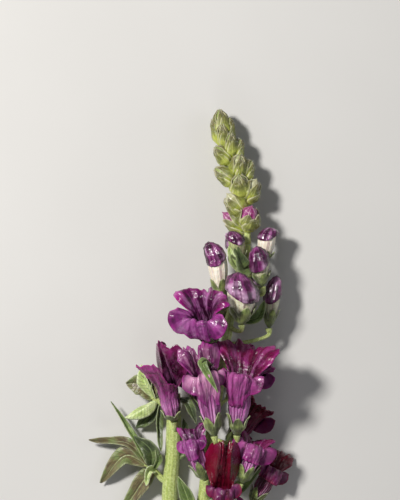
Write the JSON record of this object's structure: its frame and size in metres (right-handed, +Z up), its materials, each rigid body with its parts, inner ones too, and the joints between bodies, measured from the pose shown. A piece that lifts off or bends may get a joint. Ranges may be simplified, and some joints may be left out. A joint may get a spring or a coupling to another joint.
{
  "type": "snapdragon flower",
  "caption": "Cut snapdragon stem lying down: open two-lipped purple blooms, hooded buds, a tapering head of green buds and a leafy side shoot on one forked stem.",
  "frame": {"origin": "middle of the flower's outline seen from above, on the surface it lies on", "axes": "+Y along the spike from the cut end to the tip, +X across it towards the side away from the leafy shoot, +Z up from the surface"},
  "size_m": [0.0808, 0.1986, 0.0366],
  "materials": {
    "stem_green": "fresh pale green stem, satin",
    "leaf_green": "green leaf with a pale edge, matte",
    "sepal_green": "yellow-green sepals with whitish edges, matte",
    "petal_purple": "deep purple petals, velvety with a moist shine",
    "bud_purple": "purple hood over a cream tube, satin"
  },
  "bodies": {
    "root": {"stem": "stem_green", "head": "sepal_green", "spray_upper": "leaf_green", "spray_lower": "leaf_green", "bloom_01_petals": "petal_purple", "bloom_01_calyx": "sepal_green", "bloom_02_petals": "petal_purple", "bloom_02_calyx": "sepal_green", "bloom_03_petals": "petal_purple", "bloom_03_calyx": "sepal_green", "bloom_04_petals": "petal_purple", "bloom_04_calyx": "sepal_green", "bloom_05_petals": "petal_purple", "bloom_05_calyx": "sepal_green", "bloom_06_petals": "petal_purple", "bloom_06_calyx": "sepal_green", "bloom_07_petals": "petal_purple", "bloom_07_calyx": "sepal_green", "bloom_08_petals": "petal_purple", "bloom_08_calyx": "sepal_green", "bloom_09_petals": "petal_purple", "bloom_09_calyx": "sepal_green", "bloom_10_petals": "petal_purple", "bloom_10_calyx": "sepal_green", "bloom_11_petals": "petal_purple", "bloom_11_calyx": "sepal_green", "bloom_12_petals": "petal_purple", "bloom_12_calyx": "sepal_green", "bud_01_petals": "bud_purple", "bud_01_calyx": "sepal_green", "bud_02_petals": "bud_purple", "bud_02_calyx": "sepal_green", "bud_03_petals": "bud_purple", "bud_03_calyx": "sepal_green", "bud_04_petals": "bud_purple", "bud_04_calyx": "sepal_green", "bud_05_petals": "bud_purple", "bud_05_calyx": "sepal_green", "bud_06_petals": "bud_purple", "bud_06_calyx": "sepal_green", "bud_07_petals": "bud_purple", "bud_07_calyx": "sepal_green", "bud_08_petals": "bud_purple", "bud_08_calyx": "sepal_green", "bud_09_petals": "bud_purple", "bud_09_calyx": "sepal_green"}
  },
  "joints": []
}
